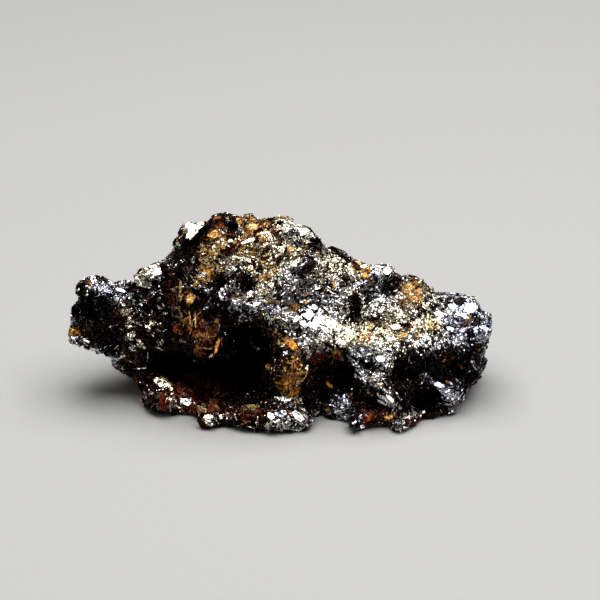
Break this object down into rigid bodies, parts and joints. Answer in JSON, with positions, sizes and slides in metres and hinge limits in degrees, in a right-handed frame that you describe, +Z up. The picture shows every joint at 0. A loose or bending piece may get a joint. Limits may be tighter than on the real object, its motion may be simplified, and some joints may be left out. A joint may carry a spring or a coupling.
{
  "type": "specular hematite specimen",
  "caption": "Craggy lump of dark specular hematite: a high hump over a small cave, a sloping right ridge and a left knob, crusted with flat crystal plates.",
  "frame": {"origin": "middle of the bounding box's underside, on the surface that the specimen rests on", "axes": "+X along the specimen's length to its right as displayed, +Y to its back, +Z up"},
  "size_m": [0.0838, 0.0452, 0.038],
  "materials": {
    "hematite": "metallic, near-black steel grey crystal plates, stained ochre and rust in places"
  },
  "bodies": {
    "root": {"hematite_mass": "hematite"}
  },
  "joints": []
}
